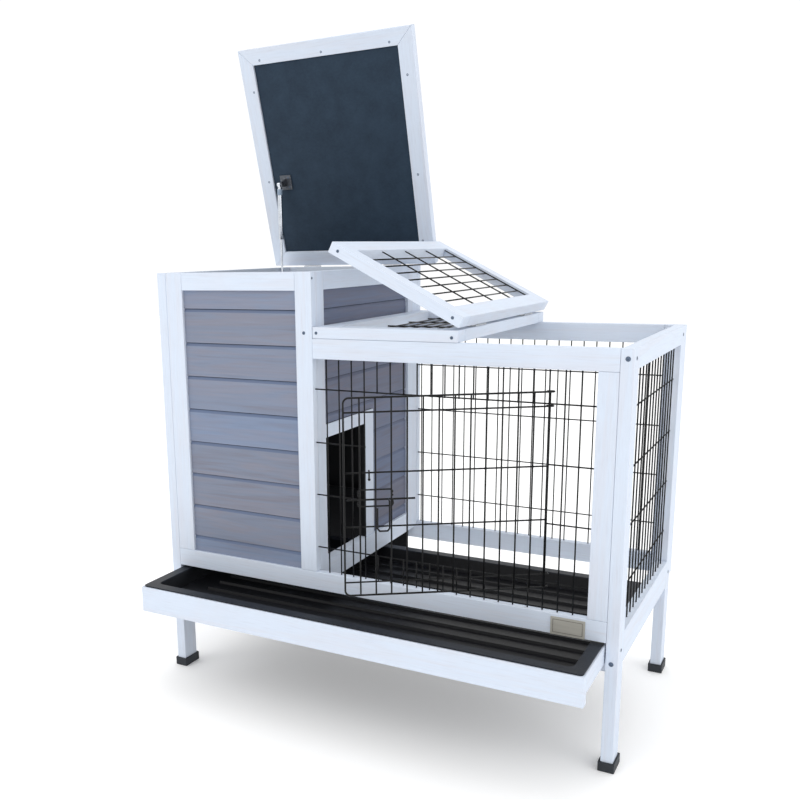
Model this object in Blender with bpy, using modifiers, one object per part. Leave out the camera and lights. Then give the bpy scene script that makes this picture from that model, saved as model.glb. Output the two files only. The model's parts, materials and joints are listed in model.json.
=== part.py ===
# Rabbit hutch: enclosed house with an opening lid, wire run with a folding
# roof flap and a wire door, and a pull-out tray on short legs.
# Metres, +Z up, +X to the right along the front, +Y to the back.
import bpy
import bmesh
import math
from mathutils import Matrix, Vector

for _ob in list(bpy.data.objects):
    bpy.data.objects.remove(_ob, do_unlink=True)

# ---------------------------------------------------------------- dimensions
# (millimetres, measured from the front left corner of the frame on the floor)
WIDTH = 900.0            # outer width over the side frames
POST_DEPTH_END = 460.0   # back face of the rear posts
DEPTH = 478.0            # back face of the rear frame
POST_W = 20.0            # post thickness across the front
POST_D = 38.0            # post depth
HOUSE_TOP = 815.0
RUN_TOP = 698.0
BOARD_T = 15.0           # thickness of the front boards
GAP = 0.3                # clearance left between neighbouring pieces

HOUSE_RIGHT = 345.0      # right face of the divider
STILE_L = 58.0           # inner edge of the left stile
STILE_R = 311.0          # inner edge of the house right stile
RUN_STILE = 848.0        # inner edge of the run right stile
OPEN_TOP = 782.0         # underside of the house top rail
BOTTOM_LOW = 225.0
BOTTOM_TOP = 260.5
RUN_RAIL_LOW = 662.0
SIDE_LOW = 183.0
SIDE_TOP = 237.0
REAR_LOW = 199.0

PLANK_JOINTS = (293.0, 358.2, 423.0, 488.0, 553.0, 617.8, 682.6, 747.5)
JOINT_CHAMFER = 6.4      # height of the chamfer along each plank's upper edge
JOINT_DEPTH = 2.4
JOINT_SLOT = 0.9         # shadow gap under the plank above
SLOT_DEPTH = 4.2

WIRE = 2.6               # wire size used for the panels
PITCH = 25.2
FRONT_WIRE_X0 = 369.4
FRONT_WIRE_N = 19
FRONT_WIRE_Z = (308.0, 409.5, 507.9, 606.4)
SIDE_WIRE_Z = (300.0, 400.0, 499.5, 599.0)
FRONT_WIRE_Y = 7.8
DOOR_FIRST = 3           # last full wire left of the door opening
DOOR_LAST = 16           # wire the door hangs on

LID_X0, LID_X1 = -31.0, 378.6
LID_Y0, LID_Y1 = 2.0, 478.0
LID_Z0 = HOUSE_TOP + 0.4
LID_T = 18.0
LID_BOARD = 33.0
LID_AXIS = (481.0, 815.2)       # y, z
LID_OPEN = math.radians(74.05)

FLAP_T = 20.0
FLAP_BOARD = 34.0
ROOF_Z0 = RUN_TOP + 0.4
SEAM_X = 620.7
FLAP_W = 272.0
FLAP_AXIS = (SEAM_X, ROOF_Z0 + FLAP_T + 2.0)   # x, z
FLAP_OPEN = math.radians(152.5)

DOOR_AXIS = (774.9, 4.0)       # x, y
DOOR_OPEN = math.radians(34.15)
DOOR_PITCH = 25.25
DOOR_Z = (301.9, 324.0, 417.2, 506.2, 603.1, 626.3)

TRAY_OUT = 126.0                # how far the drawer stands out
TRAY_X0, TRAY_X1 = 22.0, 878.0
TRAY_Z0, TRAY_Z1 = 168.5, 218.5
TRAY_SIDE_Z0 = 187.0

STRUT_X = 27.0
STRUT_FOOT = (415.0, 770.0)     # y, z
STRUT_HEAD_S = 195.0            # distance of the head pivot from the lid axis
STRUT_HEAD_OFF = 14.0

CX, CY = 436.25, 157.801       # middle of the overall box, rest pose


def P(x, y, z):
    return Vector(((x - CX) / 1000.0, (y - CY) / 1000.0, z / 1000.0))


# --------------------------------------------------------------- collections
scene = bpy.context.scene
PARTS = bpy.data.collections.new("rabbit_hutch")
scene.collection.children.link(PARTS)
CUTS = bpy.data.collections.new("cutters")
scene.collection.children.link(CUTS)

COLOURS = {
    "white_wood": ((0.74, 0.80, 0.90), 0.62, 0.0),
    "stained_wood": ((0.27, 0.29, 0.37), 0.68, 0.0),
    "lid_board": ((0.035, 0.055, 0.085), 0.75, 0.0),
    "wire": ((0.012, 0.013, 0.015), 0.4, 0.0),
    "rubber": ((0.02, 0.022, 0.028), 0.8, 0.0),
    "tray": ((0.012, 0.013, 0.016), 0.6, 0.0),
    "chrome": ((0.75, 0.76, 0.78), 0.15, 1.0),
    "steel": ((0.45, 0.47, 0.50), 0.35, 1.0),
    "plate": ((0.42, 0.41, 0.37), 0.35, 1.0),
}


def material(name, kind):
    col, rough, metal = COLOURS[kind]
    m = bpy.data.materials.new(name + "_material")
    m.use_nodes = True
    b = m.node_tree.nodes["Principled BSDF"]
    b.inputs["Base Color"].default_value = (col[0], col[1], col[2], 1.0)
    b.inputs["Roughness"].default_value = rough
    b.inputs["Metallic"].default_value = metal
    m.diffuse_color = (col[0], col[1], col[2], 1.0)
    return m


# ------------------------------------------------------------- pose functions
def stay(p):
    return p


def lid_pose(p):
    """Closed position to the open position, turning about the rear axis."""
    y, z = p[1] - LID_AXIS[0], p[2] - LID_AXIS[1]
    c, s = math.cos(LID_OPEN), math.sin(LID_OPEN)
    return (p[0], LID_AXIS[0] + y * c + z * s, LID_AXIS[1] - y * s + z * c)


def flap_pose(p):
    x, z = p[0] - FLAP_AXIS[0], p[2] - FLAP_AXIS[1]
    c, s = math.cos(FLAP_OPEN), math.sin(FLAP_OPEN)
    return (FLAP_AXIS[0] + x * c - z * s, p[1], FLAP_AXIS[1] + x * s + z * c)


def door_pose(p):
    """Door frame: s along the door from the hinge, n behind the door, z."""
    s, n, z = p
    c, k = math.cos(DOOR_OPEN), math.sin(DOOR_OPEN)
    return (DOOR_AXIS[0] - s * c + n * k * -1.0, DOOR_AXIS[1] - s * k + n * c, z)


def tray_pose(p):
    return (p[0], p[1] - TRAY_OUT, p[2])


def strut_ends():
    head = lid_pose((STRUT_X, LID_AXIS[0] - STRUT_HEAD_S, LID_Z0 - STRUT_HEAD_OFF))
    return (STRUT_X, STRUT_FOOT[0], STRUT_FOOT[1]), head


# ------------------------------------------------------------------- builders
def finish(name, bm, kind, origin=None, smooth=False, collection=None):
    """Turn a bmesh held in millimetres into an object in metres."""
    o = P(*origin) if origin is not None else None
    bmesh.ops.remove_doubles(bm, verts=bm.verts, dist=0.001)
    for v in bm.verts:
        v.co = P(v.co.x, v.co.y, v.co.z)
    if o is None:
        lo = Vector((min(v.co[i] for v in bm.verts) for i in range(3)))
        hi = Vector((max(v.co[i] for v in bm.verts) for i in range(3)))
        o = (lo + hi) * 0.5
    for v in bm.verts:
        v.co -= o
    bmesh.ops.recalc_face_normals(bm, faces=bm.faces)
    me = bpy.data.meshes.new(name)
    bm.to_mesh(me)
    bm.free()
    ob = bpy.data.objects.new(name, me)
    ob.location = o
    (collection or PARTS).objects.link(ob)
    if kind is not None:
        me.materials.append(material(name, kind))
    if smooth:
        for f in me.polygons:
            f.use_smooth = True
    return ob


def move(verts, fn):
    for v in verts:
        v.co = Vector(fn((v.co.x, v.co.y, v.co.z)))


def add_box(bm, x0, x1, y0, y1, z0, z1, pose=stay):
    m = Matrix.Translation(((x0 + x1) / 2.0, (y0 + y1) / 2.0, (z0 + z1) / 2.0))
    m = m @ Matrix.Diagonal((x1 - x0, y1 - y0, z1 - z0, 1.0))
    move(bmesh.ops.create_cube(bm, size=1.0, matrix=m)["verts"], pose)


def box(name, x0, x1, y0, y1, z0, z1, kind="white_wood", pose=stay, origin=None):
    bm = bmesh.new()
    add_box(bm, x0, x1, y0, y1, z0, z1, pose)
    return finish(name, bm, kind, origin)


def add_outline(bm, poly, axis, a0, a1, pose=stay):
    """Flat outline given thickness from a0 to a1 along an axis.  poly holds
    the two remaining coordinates in x, y, z order."""
    cv = bpy.data.curves.new("outline", "CURVE")
    cv.dimensions = "2D"
    cv.fill_mode = "BOTH"
    cv.extrude = (a1 - a0) / 2.0
    sp = cv.splines.new("POLY")
    sp.points.add(len(poly) - 1)
    for pnt, q in zip(sp.points, poly):
        pnt.co = (q[0], q[1], 0.0, 1.0)
    sp.use_cyclic_u = True
    ob = bpy.data.objects.new("outline", cv)
    PARTS.objects.link(ob)
    bpy.context.view_layer.update()
    me = bpy.data.meshes.new_from_object(ob)
    bpy.data.objects.remove(ob, do_unlink=True)
    known = set(bm.verts)
    bm.from_mesh(me)
    fresh = [v for v in bm.verts if v not in known]
    mid = (a0 + a1) / 2.0

    def lay(q):
        u, v, w = q[0], q[1], q[2] + mid
        return pose({"x": (w, u, v), "y": (u, w, v), "z": (u, v, w)}[axis])

    move(fresh, lay)
    bmesh.ops.remove_doubles(bm, verts=fresh, dist=0.001)
    bpy.data.meshes.remove(me)


def outline(name, poly, axis, a0, a1, kind="white_wood", pose=stay, origin=None):
    bm = bmesh.new()
    add_outline(bm, poly, axis, a0, a1, pose)
    return finish(name, bm, kind, origin)


def plank_profile(face, back, z0, z1):
    """Section of a planked wall: at each joint the lower plank is chamfered
    under the square edge of the plank above, on the side called face."""
    sgn = 1.0 if back > face else -1.0
    pts = [(face, z0)]
    for zj in PLANK_JOINTS:
        if zj - JOINT_CHAMFER <= z0 + 0.5 or zj >= z1 - 0.5:
            continue
        pts += [(face, zj - JOINT_CHAMFER), (face + sgn * JOINT_DEPTH, zj - JOINT_SLOT),
                (face + sgn * SLOT_DEPTH, zj - JOINT_SLOT), (face + sgn * SLOT_DEPTH, zj), (face, zj)]
    pts += [(face, z1), (back, z1), (back, z0)]
    return pts


def add_rod(bm, a, b, r, n=12, pose=stay):
    a, b = Vector(a), Vector(b)
    d = b - a
    m = Matrix.Translation((a + b) / 2.0) @ d.to_track_quat("Z", "Y").to_matrix().to_4x4()
    verts = bmesh.ops.create_cone(bm, cap_ends=True, segments=n, radius1=r, radius2=r,
                                  depth=d.length, matrix=m)["verts"]
    move(verts, pose)


def helper(name, build, origin=None):
    bm = bmesh.new()
    build(bm)
    ob = finish(name, bm, None, origin, collection=CUTS)
    ob.hide_render = True
    ob.display_type = "WIRE"
    return ob


def boolean(ob, other, op):
    m = ob.modifiers.new(op.lower() + "_" + other.name, "BOOLEAN")
    m.operation = op
    m.solver = "EXACT"
    m.object = other
    return m


def sheet(name, us, vs, keep, thick, place, kind, origin=None):
    """A flat lattice: a plane divided at us and vs, its open cells removed,
    given its thickness by Solidify.  place maps (u, v) to hutch coordinates."""
    nu, nv = len(us) - 1, len(vs) - 1
    bm = bmesh.new()
    bmesh.ops.create_grid(bm, x_segments=nu, y_segments=nv, size=1.0)

    def cell(co):
        return (co.x + 1.0) * nu / 2.0, (co.y + 1.0) * nv / 2.0

    gone = [f for f in bm.faces
            if not keep(int(cell(f.calc_center_median())[0]), int(cell(f.calc_center_median())[1]))]
    bmesh.ops.delete(bm, geom=gone, context="FACES")
    for v in bm.verts:
        i, j = cell(v.co)
        v.co = Vector(place((us[int(round(i))], vs[int(round(j))])))
    ob = finish(name, bm, kind, origin)
    sol = ob.modifiers.new("thickness", "SOLIDIFY")
    sol.thickness = thick / 1000.0
    sol.offset = 0.0
    return ob


def grid(name, bars_u, bars_v, place, origin=None, kind="wire"):
    """Flat welded grid.  bars_u: (u, v0, v1) upright bars; bars_v: (v, u0, u1)
    cross bars."""
    h = WIRE / 2.0
    rects = [(u - h, u + h, v0, v1) for u, v0, v1 in bars_u]
    rects += [(u0, u1, v - h, v + h) for v, u0, u1 in bars_v]
    us = sorted({round(c, 3) for r in rects for c in r[:2]})
    vs = sorted({round(c, 3) for r in rects for c in r[2:]})

    def keep(i, j):
        cu, cw = (us[i] + us[i + 1]) / 2.0, (vs[j] + vs[j + 1]) / 2.0
        return any(r[0] < cu < r[1] and r[2] < cw < r[3] for r in rects)

    return sheet(name, us, vs, keep, WIRE, place, kind, origin)


# ---------------------------------------------------------- posts and feet
FOOT_Z = 4.3
for side, x0 in (("left", 0.0), ("right", WIDTH - POST_W)):
    top = HOUSE_TOP if side == "left" else RUN_TOP
    for where, y0 in (("front", 0.0), ("rear", POST_DEPTH_END - POST_D)):
        box("%s_%s_post" % (where, side), x0, x0 + POST_W, y0, y0 + POST_D, FOOT_Z, top)
        wall = 3.2
        ox0, ox1 = x0 - GAP - wall, x0 + POST_W + GAP + wall
        oy0, oy1 = y0 - GAP - wall, y0 + POST_D + GAP + wall
        ix0, ix1, iy0, iy1 = x0 - GAP, x0 + POST_W + GAP, y0 - GAP, y0 + POST_D + GAP
        cap = box("%s_%s_foot_cap" % (where, side), ox0, ox1, oy0, oy1, 0.0, 17.0, "rubber")
        socket = helper("%s_%s_socket" % (where, side),
                        lambda bm: add_box(bm, ix0, ix1, iy0, iy1, 4.0, 30.0))
        boolean(cap, socket, "DIFFERENCE")

# ------------------------------------------------------------- left side wall
Y0, Y1 = POST_D + GAP, POST_DEPTH_END - POST_D - GAP
box("left_top_rail", 0.0, POST_W, Y0, Y1, OPEN_TOP, HOUSE_TOP)
box("left_bottom_rail", 0.0, POST_W, Y0, Y1, SIDE_LOW, SIDE_TOP)
outline("left_wall_planks", plank_profile(6.0, 14.0, SIDE_TOP + GAP, OPEN_TOP - GAP), "y", Y0, Y1,
      "stained_wood")

# ------------------------------------------------------------ house front wall
box("house_left_stile", POST_W + GAP, STILE_L, 0.0, BOARD_T, BOTTOM_TOP + GAP, HOUSE_TOP)
box("house_right_stile", STILE_R, HOUSE_RIGHT, 0.0, BOARD_T, BOTTOM_TOP + GAP, HOUSE_TOP)
box("house_top_rail", STILE_L + GAP, STILE_R - GAP, 0.0, BOARD_T, OPEN_TOP, HOUSE_TOP)
outline("house_front_planks", plank_profile(5.0, 13.0, BOTTOM_TOP + GAP, OPEN_TOP - GAP), "x",
      STILE_L + GAP, STILE_R - GAP, "stained_wood")
box("front_bottom_rail", POST_W + GAP, WIDTH - POST_W - GAP, 0.0, BOARD_T, BOTTOM_LOW, BOTTOM_TOP)

# --------------------------------------------------------------- run front
box("run_top_rail", HOUSE_RIGHT + GAP, WIDTH - POST_W - GAP, 0.0, BOARD_T, RUN_RAIL_LOW, RUN_TOP)
box("run_right_stile", RUN_STILE, WIDTH - POST_W - GAP, 0.0, BOARD_T, BOTTOM_TOP + GAP,
    RUN_RAIL_LOW - GAP)
h = WIRE / 2.0
zb, zt = BOTTOM_TOP + GAP, RUN_RAIL_LOW - GAP
xs = [FRONT_WIRE_X0 + PITCH * i for i in range(FRONT_WIRE_N)]
ups = []
for i, x in enumerate(xs):
    if DOOR_FIRST < i < DOOR_LAST:
        ups.append((x, zb, FRONT_WIRE_Z[0] + h))
        ups.append((x, FRONT_WIRE_Z[3] - h, zt))
    else:
        ups.append((x, zb, zt))
xl, xr = HOUSE_RIGHT + GAP, RUN_STILE - GAP
cross = [(FRONT_WIRE_Z[0], xl, xr), (FRONT_WIRE_Z[3], xl, xr)]
for z in FRONT_WIRE_Z[1:3]:
    cross.append((z, xl, xs[DOOR_FIRST] + h))
    cross.append((z, xs[DOOR_LAST] - h, xr))
grid("front_wire_panel", ups, cross, lambda q: (q[0], FRONT_WIRE_Y, q[1]))

# --------------------------------------------------------------- divider wall
DX0, DX1 = 325.0, HOUSE_RIGHT
DLOW, DTOP = 228.0, 270.0
box("divider_front_post", DX0, DX1, BOARD_T + GAP, 45.0, DLOW, HOUSE_TOP)
box("divider_rear_post", DX0, DX1, 412.0, POST_DEPTH_END, DLOW, HOUSE_TOP)
box("divider_top_rail", DX0, DX1, 45.0 + GAP, 412.0 - GAP, OPEN_TOP, HOUSE_TOP)
box("divider_bottom_rail", DX0, DX1, 45.0 + GAP, 412.0 - GAP, DLOW, DTOP)
wall = outline("divider_planks", plank_profile(339.0, 331.0, DTOP + GAP, OPEN_TOP - GAP), "y",
             45.0 + GAP, 412.0 - GAP, "stained_wood")
cut = helper("doorway_cut", lambda bm: add_box(bm, 320.0, 350.0, 30.0, 245.0 + GAP, 250.0, 534.0 + GAP))
boolean(wall, cut, "DIFFERENCE")
outline("doorway_trim", [(45.0 + GAP, 509.0), (211.0, 509.0), (211.0, DTOP + GAP), (245.0, DTOP + GAP),
                       (245.0, 534.0), (45.0 + GAP, 534.0)], "x", 329.0, 343.0)

# ------------------------------------------------------------------ rear wall
RY0, RY1 = POST_DEPTH_END + GAP, DEPTH
box("rear_left_stile", 0.0, 38.0, RY0, RY1, REAR_LOW, HOUSE_TOP)
box("rear_middle_stile", STILE_R, HOUSE_RIGHT, RY0, RY1, SIDE_TOP + GAP, HOUSE_TOP)
box("rear_house_top_rail", 38.0 + GAP, STILE_R - GAP, RY0, RY1, OPEN_TOP, HOUSE_TOP)
outline("rear_wall_planks", plank_profile(473.0, 465.0, SIDE_TOP + GAP, OPEN_TOP - GAP), "x",
      38.0 + GAP, STILE_R - GAP, "stained_wood")
box("rear_bottom_rail", 38.0 + GAP, 862.0 - GAP, RY0, RY1, REAR_LOW, SIDE_TOP)
box("rear_run_top_rail", HOUSE_RIGHT + GAP, 862.0 - GAP, RY0, RY1, RUN_RAIL_LOW, RUN_TOP)
box("rear_right_stile", 862.0, WIDTH, RY0, RY1, REAR_LOW, RUN_TOP)
zb, zt = SIDE_TOP + GAP, RUN_RAIL_LOW - GAP
xl, xr = HOUSE_RIGHT + GAP, 862.0 - GAP
grid("rear_wire_panel", [(352.6 + 25.4 * i, zb, zt) for i in range(20)],
     [(z, xl, xr) for z in SIDE_WIRE_Z], lambda q: (q[0], 468.0, q[1]))

# ----------------------------------------------------------------- right side
box("right_top_rail", WIDTH - POST_W, WIDTH, Y0, Y1, RUN_RAIL_LOW + 2.0, RUN_TOP)
box("right_bottom_rail", WIDTH - POST_W, WIDTH, Y0, Y1, SIDE_LOW, SIDE_TOP)
zt = RUN_RAIL_LOW + 2.0 - GAP
grid("right_wire_panel", [(46.0 + 25.4 * i, zb, zt) for i in range(15)],
     [(z, Y0, Y1) for z in SIDE_WIRE_Z], lambda q: (890.0, q[0], q[1]))

# ------------------------------------------------------------------------ lid
LO = (0.0, LID_AXIS[0], LID_AXIS[1])
lid_origin = ((LID_X0 + LID_X1) / 2.0, LID_AXIS[0], LID_AXIS[1])
B = LID_BOARD
g2 = GAP / 2.0 * math.sqrt(2.0) / 1.0


def lid_board(name, poly):
    outline(name, poly, "z", LID_Z0, LID_Z0 + LID_T, "white_wood", lid_pose, lid_origin)


x0, x1, y0, y1 = LID_X0, LID_X1, LID_Y0, LID_Y1
lid_board("lid_left_board", [(x0, y0 + g2), (x0 + B, y0 + B + g2), (x0 + B, y1 - B - g2), (x0, y1 - g2)])
lid_board("lid_right_board", [(x1, y1 - g2), (x1 - B, y1 - B - g2), (x1 - B, y0 + B + g2), (x1, y0 + g2)])
lid_board("lid_front_board", [(x0 + g2, y0), (x1 - g2, y0), (x1 - B - g2, y0 + B), (x0 + B + g2, y0 + B)])
lid_board("lid_rear_board", [(x0 + B + g2, y1 - B), (x1 - B - g2, y1 - B), (x1 - g2, y1), (x0 + g2, y1)])
box("lid_panel", x0 + B + GAP, x1 - B - GAP, y0 + B + GAP, y1 - B - GAP, LID_Z0 + 4.0, LID_Z0 + 10.0,
    "lid_board", lid_pose, lid_origin)

for side, xc in (("left", 70.0), ("right", 275.0)):
    bm = bmesh.new()
    r = 2.2
    ya, za = LID_AXIS
    n = 12
    prof = [(478.3, za - 24.0), (479.5, za - 24.0)]
    start = math.atan2(-math.sqrt(r * r - (479.5 - ya) ** 2), 479.5 - ya)
    end = math.atan2(math.sqrt(r * r - (478.9 - ya) ** 2), 478.9 - ya)
    if end < start:
        end += 2 * math.pi
    for i in range(n + 1):
        a = start + (end - start) * i / n
        prof.append((ya + r * math.cos(a), za + r * math.sin(a)))
    prof.append((478.3, za - 1.2))
    add_outline(bm, prof, "x", xc - 22.0, xc + 22.0)
    finish("lid_hinge_%s" % side, bm, "steel", (xc, ya, za))

# ------------------------------------------------------------------ lid strut
foot, head = strut_ends()
fv, hv = Vector(foot), Vector(head)
axis_dir = (hv - fv).normalized()
side_dir = Vector((1, 0, 0))
perp = axis_dir.cross(side_dir).normalized()
FIT = 9.0
CYL_LEN = 112.0


def strut_box(bm, centre, half_axis, half_perp, x0, x1):
    m = Matrix((side_dir, perp, axis_dir)).transposed().to_4x4()
    m.translation = Vector(((x0 + x1) / 2.0, centre.y, centre.z))
    m = m @ Matrix.Diagonal((x1 - x0, 2.0 * half_perp, 2.0 * half_axis, 1.0))
    bmesh.ops.create_cube(bm, size=1.0, matrix=m)


bm = bmesh.new()
add_rod(bm, hv - axis_dir * (FIT - 3.0), hv - axis_dir * (FIT + CYL_LEN), 5.25, 16)
cyl = finish("strut_cylinder", bm, "chrome", foot, smooth=False)
eye = helper("strut_head_eye", lambda bm: strut_box(bm, hv, 6.5, 5.0, STRUT_X - 4.0, STRUT_X + 4.0))
boolean(cyl, eye, "UNION")
stud = helper("strut_head_stud", lambda bm: add_rod(bm, hv + Vector((-5.4, 0, 0)), hv + Vector((5.7, 0, 0)), 2.6, 12))
boolean(cyl, stud, "UNION")
bore = helper("strut_bore", lambda bm: add_rod(bm, hv - axis_dir * (FIT + CYL_LEN + 2.0),
                                              hv - axis_dir * (FIT + 6.0), 2.9, 12))
boolean(cyl, bore, "DIFFERENCE")

bm = bmesh.new()
rod_len = (hv - fv).length - FIT - CYL_LEN + 8.0
add_rod(bm, fv + axis_dir * 4.0, fv + axis_dir * rod_len, 2.4, 12)
rod = finish("strut_rod", bm, "chrome", foot)
eye = helper("strut_foot_eye", lambda bm: strut_box(bm, fv, 6.5, 5.0, STRUT_X - 4.0, STRUT_X + 4.0))
boolean(rod, eye, "UNION")
hole = helper("strut_foot_hole", lambda bm: add_rod(bm, fv + Vector((-9, 0, 0)), fv + Vector((9, 0, 0)), 3.0, 12))
boolean(rod, hole, "DIFFERENCE")

# wall bracket: plate on the planks with a pin through the rod eye
bm = bmesh.new()
add_box(bm, 14.3, 17.3, STRUT_FOOT[0] - 18.0, STRUT_FOOT[0] + 6.0, STRUT_FOOT[1] - 22.0, STRUT_FOOT[1] + 11.0)
wb = finish("strut_wall_bracket", bm, "steel", foot)
pin = helper("wall_pin", lambda bm: add_rod(bm, (16.0, foot[1], foot[2]), (33.0, foot[1], foot[2]), 2.6, 12))
boolean(wb, pin, "UNION")
hd = helper("wall_pin_head", lambda bm: add_rod(bm, (31.4, foot[1], foot[2]), (33.4, foot[1], foot[2]), 4.2, 12))
boolean(wb, hd, "UNION")

# lid bracket: plate under the lid panel with a lug that the strut's stud meets
panel_low = LID_Z0 + 4.0
hs = LID_AXIS[0] - STRUT_HEAD_S
hz = LID_Z0 - STRUT_HEAD_OFF
bm = bmesh.new()
add_box(bm, 21.0, 49.0, hs - 16.0, hs + 16.0, panel_low - 2.3, panel_low - GAP, lid_pose)
lb = finish("strut_lid_bracket", bm, "steel", head)
lug = helper("lid_lug", lambda bm: add_outline(bm, [(hs - 8.0, panel_low - 1.0), (hs - 5.0, hz - 5.0),
                                                   (hs + 5.0, hz - 5.0), (hs + 8.0, panel_low - 1.0)],
                                              "x", 33.0, 36.0, lid_pose))
boolean(lb, lug, "UNION")

# -------------------------------------------------------------- roof panels
RD = DEPTH


def ring_frame(name, xa, xb, ya, yb, z0, z1, b, kind, pose=stay, origin=None):
    return sheet(name, [xa, xa + b, xb - b, xb], [ya, ya + b, yb - b, yb], lambda i, j: (i, j) != (1, 1),
                 z1 - z0, lambda q: pose((q[0], q[1], (z0 + z1) / 2.0)), kind, origin)


def roof_grid(name, xa, xb, pose=stay, origin=None):
    b = FLAP_BOARD + GAP
    ua, ub, va, vb = xa + b, xb - b, b, RD - b
    step = (ub - ua) / 8.0
    grid(name, [(ua + step * (i + 1), va, vb) for i in range(7)],
         [(40.0 + 99.5 * k, ua, ub) for k in range(5)],
         lambda q: pose((q[0], q[1], ROOF_Z0 + 4.0 + WIRE / 2.0)), origin)


AX0, AX1 = HOUSE_RIGHT + 1.0, SEAM_X - GAP
ring_frame("roof_fixed_frame", AX0, AX1, 0.0, RD, ROOF_Z0, ROOF_Z0 + FLAP_T, FLAP_BOARD, "white_wood")
roof_grid("roof_fixed_wires", AX0, AX1)
BX0, BX1 = SEAM_X + GAP, SEAM_X + GAP + FLAP_W
flap_origin = (FLAP_AXIS[0], RD / 2.0, FLAP_AXIS[1])
ring_frame("roof_flap_frame", BX0, BX1, 0.0, RD, ROOF_Z0, ROOF_Z0 + FLAP_T, FLAP_BOARD, "white_wood",
           flap_pose, flap_origin)
roof_grid("roof_flap_wires", BX0, BX1, flap_pose, flap_origin)

ztop = ROOF_Z0 + FLAP_T
for where, yc in (("front", 105.0), ("rear", 372.0)):
    bm = bmesh.new()
    xa, za = FLAP_AXIS
    r = 1.6
    prof = [(xa - 20.0, ztop + GAP), (xa - 20.0, ztop + GAP + 1.0)]
    top_z = ztop + GAP + 1.0
    start = math.atan2(top_z - za, -math.sqrt(r * r - (top_z - za) ** 2))
    end = math.atan2(ztop + GAP + 0.15 - za, -math.sqrt(max(r * r - (ztop + GAP + 0.15 - za) ** 2, 0.0)))
    a0 = start % (2 * math.pi)
    a1 = end % (2 * math.pi)
    if a1 > a0:
        a1 -= 2 * math.pi
    for i in range(11):
        a = a0 + (a1 - a0) * i / 10.0
        prof.append((xa + r * math.cos(a), za + r * math.sin(a)))
    add_outline(bm, prof, "y", yc - 26.0, yc + 26.0)
    finish("roof_hinge_%s" % where, bm, "steel", (xa, yc, za))

# ------------------------------------------------------------------ wire door
door_origin = (DOOR_AXIS[0], DOOR_AXIS[1], (DOOR_Z[0] + DOOR_Z[-1]) / 2.0)
grid("wire_door", [(DOOR_PITCH * i, DOOR_Z[0] - h, DOOR_Z[-1] + h) for i in range(14)],
     [(z, -h, DOOR_PITCH * 13 + h) for z in DOOR_Z],
     lambda q: door_pose((q[0], 0.0, q[1])), door_origin)

# bolt: a straight wire behind the door with a finger loop welded to it that
# comes forward between two door wires and hangs in front
BZ = 460.0
path = [(256.2, 8.0, BZ), (256.2, -5.5, BZ), (256.2, -5.5, 415.0), (259.6, -5.5, 410.8),
        (272.2, -5.5, 410.8), (275.6, -5.5, 415.0), (275.6, -5.5, 449.0)]
cv = bpy.data.curves.new("door_bolt_path", "CURVE")
cv.dimensions = "3D"
sp = cv.splines.new("POLY")
sp.points.add(len(path) - 1)
bolt_origin = P(*door_pose((270.0, 8.0, BZ)))
for pnt, q in zip(sp.points, path):
    co = P(*door_pose(q)) - bolt_origin
    pnt.co = (co.x, co.y, co.z, 1.0)
cv.bevel_depth = 0.0015
cv.bevel_resolution = 2
cv.use_fill_caps = True
tmp = bpy.data.objects.new("door_bolt_tmp", cv)
PARTS.objects.link(tmp)
bpy.context.view_layer.update()
me = bpy.data.meshes.new_from_object(tmp)
bpy.data.objects.remove(tmp, do_unlink=True)
bm = bmesh.new()
bm.from_mesh(me)
bmesh.ops.remove_doubles(bm, verts=bm.verts, dist=0.00001)
bmesh.ops.recalc_face_normals(bm, faces=bm.faces)
me2 = bpy.data.meshes.new("door_bolt")
bm.to_mesh(me2)
bm.free()
bolt = bpy.data.objects.new("door_bolt", me2)
bolt.location = bolt_origin
me2.materials.append(material("door_bolt", "wire"))
for f in me2.polygons:
    f.use_smooth = True
PARTS.objects.link(bolt)
shaft = helper("bolt_shaft", lambda bm: add_rod(bm, (213.0, 8.0, BZ), (323.0, 8.0, BZ), 1.6, 12, door_pose))
boolean(bolt, shaft, "UNION")

# --------------------------------------------------------------- pull-out tray
tray_origin = (CX, -TRAY_OUT, (TRAY_Z0 + TRAY_Z1) / 2.0)
T = 12.0
frame = box("tray_frame", TRAY_X0, TRAY_X1, 0.0, BOARD_T, TRAY_Z0, TRAY_Z1, "white_wood", tray_pose,
            tray_origin)
for side, xa, xb in (("left", TRAY_X0, TRAY_X0 + T), ("right", TRAY_X1 - T, TRAY_X1)):
    arm = helper("tray_%s_side" % side,
                 lambda bm: add_box(bm, xa, xb, BOARD_T - 5.0, 448.0, TRAY_SIDE_Z0, TRAY_Z1, tray_pose))
    boolean(frame, arm, "UNION")


def rounded(x0, x1, y0, y1, r, z, n=3):
    pts = []
    for cx, cy, a in ((x1 - r, y0 + r, -90.0), (x1 - r, y1 - r, 0.0), (x0 + r, y1 - r, 90.0), (x0 + r, y0 + r, 180.0)):
        for i in range(n + 1):
            t = math.radians(a + 90.0 * i / n)
            pts.append((cx + r * math.cos(t), cy + r * math.sin(t), z))
    return pts


bm = bmesh.new()
RIM_X0, RIM_X1, RIM_Y0, RIM_Y1 = 25.0, 875.0, 3.0, 449.0


def inset(d, r, z):
    return rounded(RIM_X0 + d, RIM_X1 - d, RIM_Y0 + d, RIM_Y1 - d, r, z)


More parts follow.
